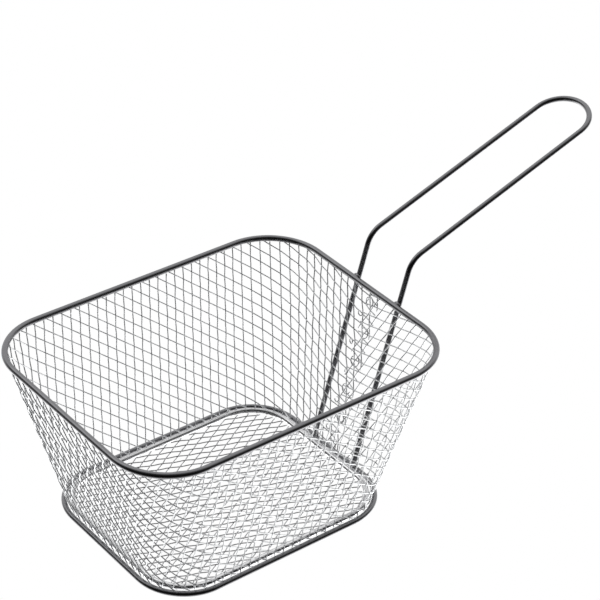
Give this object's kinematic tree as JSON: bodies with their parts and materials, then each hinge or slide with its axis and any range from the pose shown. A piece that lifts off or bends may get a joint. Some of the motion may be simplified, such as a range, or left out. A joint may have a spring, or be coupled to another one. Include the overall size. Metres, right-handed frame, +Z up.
{
  "type": "fry serving basket",
  "caption": "Small rectangular serving basket of woven wire mesh, tapered and open at the top, with round wire rings at rim and base and a long looped wire handle.",
  "frame": {"origin": "on the table under the middle of the basket, in the underside of the mesh floor", "axes": "+Z up, +X along the basket's long side towards the handle, +Y to the left when facing along +X"},
  "size_m": [0.224, 0.1032, 0.1123],
  "materials": {
    "frame_wire": "bright plated steel wire, dark in reflection",
    "woven_mesh": "bright woven steel wire"
  },
  "bodies": {
    "root": {"rim_wire": "frame_wire", "base_wire_outer": "frame_wire", "base_wire_inner": "frame_wire", "handle_wire": "frame_wire", "wall_mesh": "woven_mesh", "floor_mesh": "woven_mesh"}
  },
  "joints": []
}
